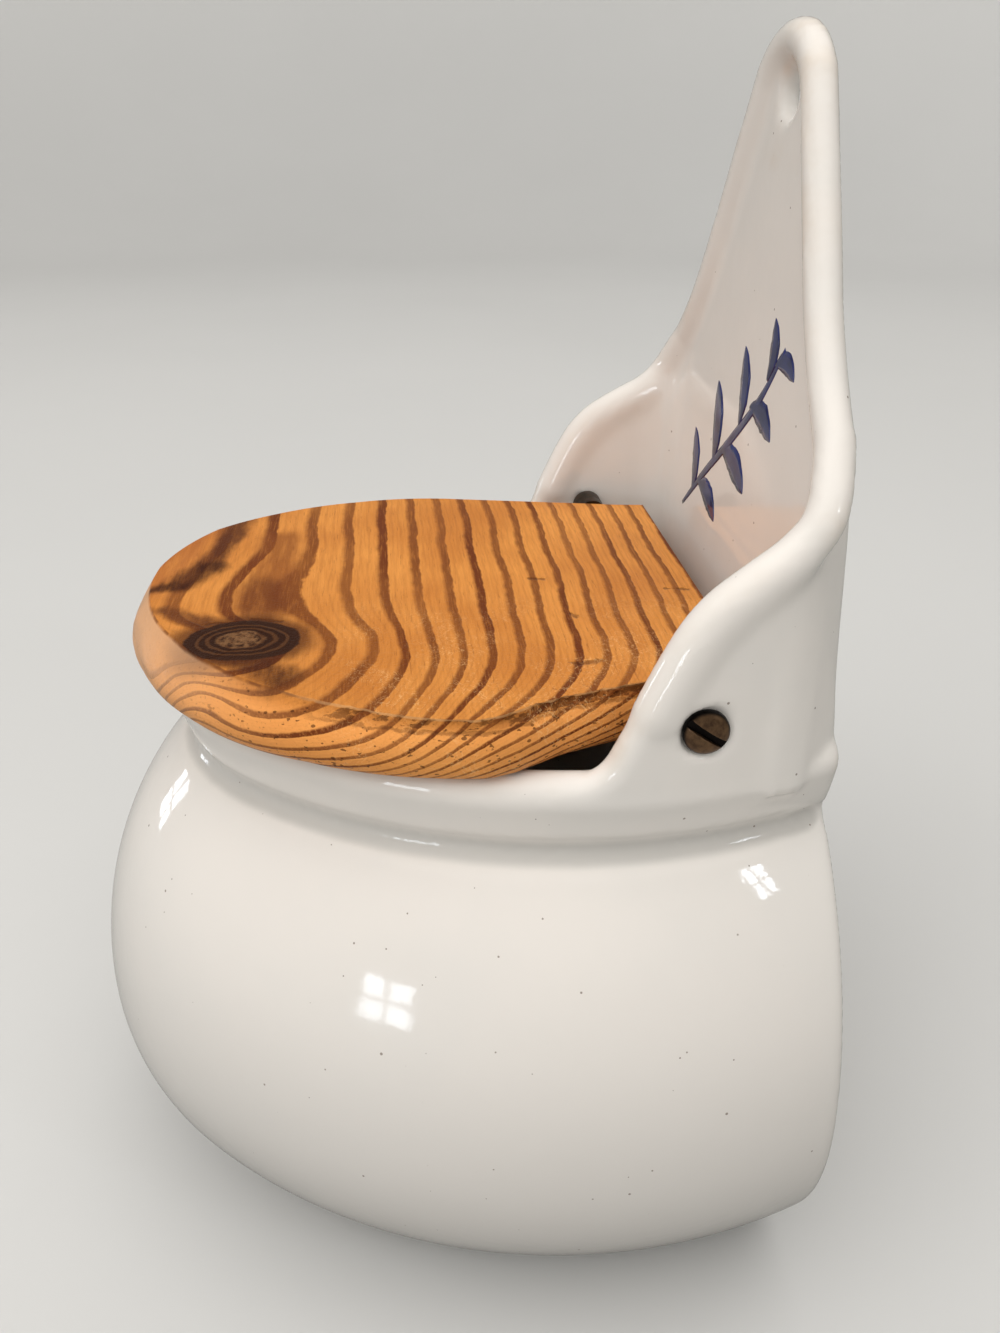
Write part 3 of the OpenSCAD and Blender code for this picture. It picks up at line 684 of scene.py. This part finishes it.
# Painted shade: near black at the floor of the slot and round the foot of the head
colour = bronze.mix(bronze.range(along, 0.0612, 0.0606), colour, (0.006, 0.004, 0.003))
bronze.set(Base_Color=colour, Metallic=0.85, Roughness=bronze.range(tarnish, 0.3, 0.7, 0.30, 0.48),
           Normal=bronze.bump(bronze.noise(1500, 3), 0.12, 0.0002))
SEAT_X, SHANK_R, HEAD_R, HEAD_RIM, DOME, ROUND = 59.45, 1.97, 3.95, 0.9, 1.45, 64
SLOT_HALF, SLOT_FLOOR = 0.0007, 0.00115
profile = [(0.0, 28.0), (0.5, 28.0), (1.7, 32.0)]
for turn_at in np.arange(32.6, 45.0, 1.3):
    profile += [(1.35, turn_at), (1.7, turn_at + 0.65)]
profile += [(SHANK_R, 45.8), (SHANK_R, SEAT_X - 0.02), (HEAD_R, SEAT_X), (HEAD_R, SEAT_X + HEAD_RIM)]
profile += [(HEAD_R * math.sin(t), SEAT_X + HEAD_RIM + DOME * math.cos(t))
            for t in np.linspace(1.35, 0.12, 10)]
profile += [(0.0, SEAT_X + HEAD_RIM + DOME)]
screw_points = [(px / 1000, r * math.cos(t) / 1000, r * math.sin(t) / 1000) for r, px in profile
                for t in np.linspace(0, 2 * math.pi, ROUND, endpoint=False)]
screw_faces = bands(len(profile), ROUND)
knife_points = [(SEAT_X / 1000 + SLOT_FLOOR + i * 0.003, j * 0.006, k * SLOT_HALF)
                for i in (0, 1) for j in (-1, 1) for k in (-1, 1)]
knife_faces = [(0, 1, 3, 2), (4, 6, 7, 5), (0, 4, 5, 1), (2, 3, 7, 6), (0, 2, 6, 4), (1, 5, 7, 3)]
for name, side_sign, slot_deg in (("right", 1, -35.0), ("left", -1, 20.0)):
    blank = piece("blank", screw_points, screw_faces)
    blank.data.validate()
    knife = piece("knife", knife_points, knife_faces, smooth=False)
    knife.rotation_euler = (math.radians(slot_deg), 0, 0)
    cut = blank.modifiers.new("slot", "BOOLEAN")
    cut.object, cut.operation, cut.solver = knife, "DIFFERENCE", "EXACT"
    worn_edge = blank.modifiers.new("worn edge", "BEVEL")
    worn_edge.width, worn_edge.segments, worn_edge.limit_method = 0.00012, 2, "ANGLE"
    bpy.context.view_layer.update()
    mesh = bpy.data.meshes.new_from_object(blank.evaluated_get(bpy.context.evaluated_depsgraph_get()))
    for gone in (blank, knife):
        bpy.data.objects.remove(gone)
    mesh.transform(Matrix.Translation((0, (WALL_Y + PIVOT_Y) / 1000, PIVOT_Z / 1000))
                   @ Matrix.Diagonal((side_sign, 1, 1, 1)))
    if side_sign < 0:
        mesh.flip_normals()
    screw = bpy.data.objects.new(f"slotted_screw_{name}", mesh)
    bpy.context.scene.collection.objects.link(screw)
    paint(screw, bronze)
    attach(screw, "lid_set")
    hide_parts(f"pivot_screw_{name}")


# The spacers: short tubes of dark drawn brass on the screws, between the lid and the ears.
tube = Finish("dark drawn tube")
colour = tube.mix(tube.range(tube.noise(500, 4), 0.3, 0.7), (0.030, 0.020, 0.013), (0.075, 0.047, 0.028))
tube.set(Base_Color=colour, Metallic=0.8, Roughness=tube.range(tube.noise(300), 0.3, 0.7, 0.4, 0.55))
for name in ("spacer_right", "spacer_left"):
    paint(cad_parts[name], tube)


# The stage: a pale round cove, soft lamps that the glaze does not mirror, three windows that it
# does, and the camera at the photo's viewing angle.
FLOOR_R, COVE_R, WALL_TOP, SIDES = 1.5, 0.9, 2.8, 96
sweep = [(0.3, 0.0), (FLOOR_R, 0.0)]
sweep += [(FLOOR_R + COVE_R * math.sin(t), COVE_R - COVE_R * math.cos(t))
          for t in np.linspace(0.1, math.pi / 2, 16)]
sweep += [(FLOOR_R + COVE_R, WALL_TOP)]
cove_points = [(r * math.cos(t), r * math.sin(t), pz) for r, pz in sweep
               for t in np.linspace(0, 2 * math.pi, SIDES, endpoint=False)]
cove = piece("cove", cove_points, bands(len(sweep), SIDES) + [tuple(reversed(range(SIDES)))])
pale = Finish("pale cove")
seen = pale.mix(pale.noise(3, 4), (0.58, 0.58, 0.57), (0.62, 0.62, 0.61))
rise = pale.add("ShaderNodeSeparateXYZ", Vector=pale.place).outputs[2]
seen = pale.mix(pale.range(rise, 0.0, 1.1), seen, (0.88, 0.88, 0.865))
colour = pale.mix(pale.noise(3, 4), (0.33, 0.33, 0.32), (0.37, 0.37, 0.36))
colour = pale.mix(pale.add("ShaderNodeLightPath").outputs["Is Camera Ray"], colour, seen)
pale.set(Base_Color=colour, Roughness=pale.range(pale.noise(9), 0.3, 0.7, 0.75, 0.85))
pale.shader.inputs["Specular IOR Level"].default_value = 0.1
paint(cove, pale)
cove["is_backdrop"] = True


def facing(at, look_at):
    """Placement at one point with the view or the light turned to another."""
    turn = (Vector(look_at) - Vector(at)).to_track_quat("-Z", "Y")
    return Matrix.Translation(at) @ turn.to_matrix().to_4x4()


def lamp(name, at, look_at, size, power, colour=(1, 1, 1)):
    data = bpy.data.lights.new(name, "AREA")
    data.shape = "RECTANGLE"
    data.size, data.size_y = size
    data.energy = power
    data.color = colour
    obj = bpy.data.objects.new(name, data)
    obj.matrix_world = facing(at, look_at)
    bpy.context.scene.collection.objects.link(obj)
    return obj


def window(name, at, look_at, panes, pane, gap, power):
    """A window with glazing bars: a grid of small even lights."""
    at, look_at = Vector(at), Vector(look_at)
    ahead = (look_at - at).normalized()
    across = ahead.cross(Vector((0, 0, 1))).normalized()
    upward = across.cross(ahead)
    for i in range(panes[0]):
        for j in range(panes[1]):
            side_way = (i - (panes[0] - 1) / 2) * (pane[0] + gap)
            up_way = (j - (panes[1] - 1) / 2) * (pane[1] + gap)
            place = at + across * side_way + upward * up_way
            lamp(f"{name}_{i}{j}", place, place + ahead, pane, power, (0.86, 0.93, 1.0))


window("window_left", (1.23, -0.95, 0.22), (0.066, -0.01, 0.082), (2, 2), (0.125, 0.155), 0.03, 0.5)
window("window_right", (0.92, 0.98, 0.90), (0.06, 0.056, 0.099), (2, 2), (0.05, 0.12), 0.02, 0.25)
window("window_front", (-0.76, -1.32, 0.14), (0.02, -0.05, 0.095), (2, 2), (0.09, 0.17), 0.03, 0.35)
for soft in (lamp("sky", (1.2, -1.6, 1.54), (0, 0, 0.1), (2.1, 2.1), 23, (1.0, 0.985, 0.965)),
             lamp("fill", (1.55, 0.33, 1.3), (0, 0, 0.12), (1.6, 1.3), 7, (1.0, 0.97, 0.935)),
             lamp("back", (-1.4, 1.4, 1.2), (0, 0, 0.12), (1.6, 1.4), 6, (1.0, 0.985, 0.965)),
             lamp("ceiling", (0.2, -0.4, 2.1), (0.1, -0.2, 0), (3.0, 3.0), 42, (1.0, 0.975, 0.945))):
    soft.visible_glossy = False

world = bpy.data.worlds.new("room")
world.use_nodes = True
wt = world.node_tree
background = wt.nodes["Background"]
upward = wt.nodes.new("ShaderNodeSeparateXYZ")
wt.links.new(wt.nodes.new("ShaderNodeTexCoord").outputs["Generated"], upward.inputs[0])
dome = wt.nodes.new("ShaderNodeMapRange")
dome.interpolation_type = "SMOOTHSTEP"
for socket, value in zip(list(dome.inputs)[1:5], (0.0, 0.95, 0.03, 0.5)):
    socket.default_value = value
wt.links.new(upward.outputs[2], dome.inputs[0])
wt.links.new(dome.outputs[0], background.inputs["Strength"])
background.inputs["Color"].default_value = (1, 0.975, 0.945, 1)
bpy.context.scene.world = world
bpy.context.scene.view_settings.view_transform = "Standard"

camera = bpy.data.objects.new("camera", bpy.data.cameras.new("camera"))
camera.data.sensor_fit = "VERTICAL"
camera.data.sensor_height = 36
camera.data.lens = 30.51
camera.data.clip_start = 0.01
camera.matrix_world = facing((0.2147, -0.005525, 0.2224), (-0.00027, 0.017075, 0.1111))
bpy.context.scene.collection.objects.link(camera)
bpy.context.scene.camera = camera

low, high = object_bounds()
